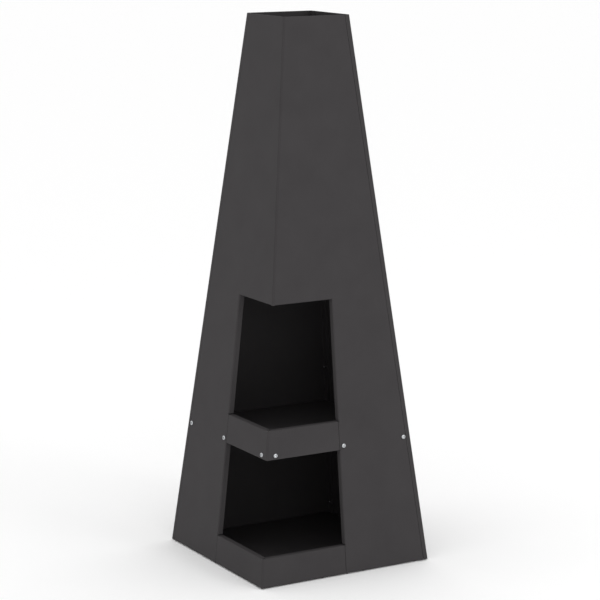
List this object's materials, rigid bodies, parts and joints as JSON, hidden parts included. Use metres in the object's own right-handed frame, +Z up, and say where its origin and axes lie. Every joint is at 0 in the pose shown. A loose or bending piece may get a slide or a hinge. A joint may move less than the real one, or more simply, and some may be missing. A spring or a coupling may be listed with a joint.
{
  "type": "chiminea",
  "caption": "Tall tapering square sheet-steel garden fireplace: fire shelf behind an open corner, log store below, flue above.",
  "frame": {"origin": "centre of the plan on the ground, under the base bolts' heads", "axes": "+Z up; the open corner points to -X -Y"},
  "size_m": [0.43, 0.43, 1.2202],
  "materials": {
    "black_powder_coat": "matt black heat-resistant coating, fine texture",
    "zinc_plate": "bright zinc-plated fasteners"
  },
  "bodies": {
    "root": {"front_shell": "black_powder_coat", "rear_left_panel": "black_powder_coat", "rear_right_panel": "black_powder_coat", "front_band": "black_powder_coat", "plinth": "black_powder_coat", "fire_shelf": "black_powder_coat", "base_plate": "black_powder_coat", "back_seam_weld_nuts": "black_powder_coat", "plinth_base_bolts": "black_powder_coat", "side_base_bolts": "black_powder_coat", "rear_base_bolts": "black_powder_coat", "base_weld_nuts": "black_powder_coat", "band_bolts": "zinc_plate", "band_washers": "zinc_plate", "band_nuts": "zinc_plate", "side_panel_bolts": "zinc_plate", "side_panel_washers": "zinc_plate", "side_panel_nuts": "zinc_plate", "corner_lap_bolts": "zinc_plate", "corner_lap_washers": "zinc_plate", "corner_lap_nuts": "zinc_plate", "rear_shelf_bolts": "zinc_plate", "rear_shelf_washers": "zinc_plate", "rear_shelf_nuts": "zinc_plate", "back_seam_bolts": "zinc_plate"}
  },
  "joints": []
}
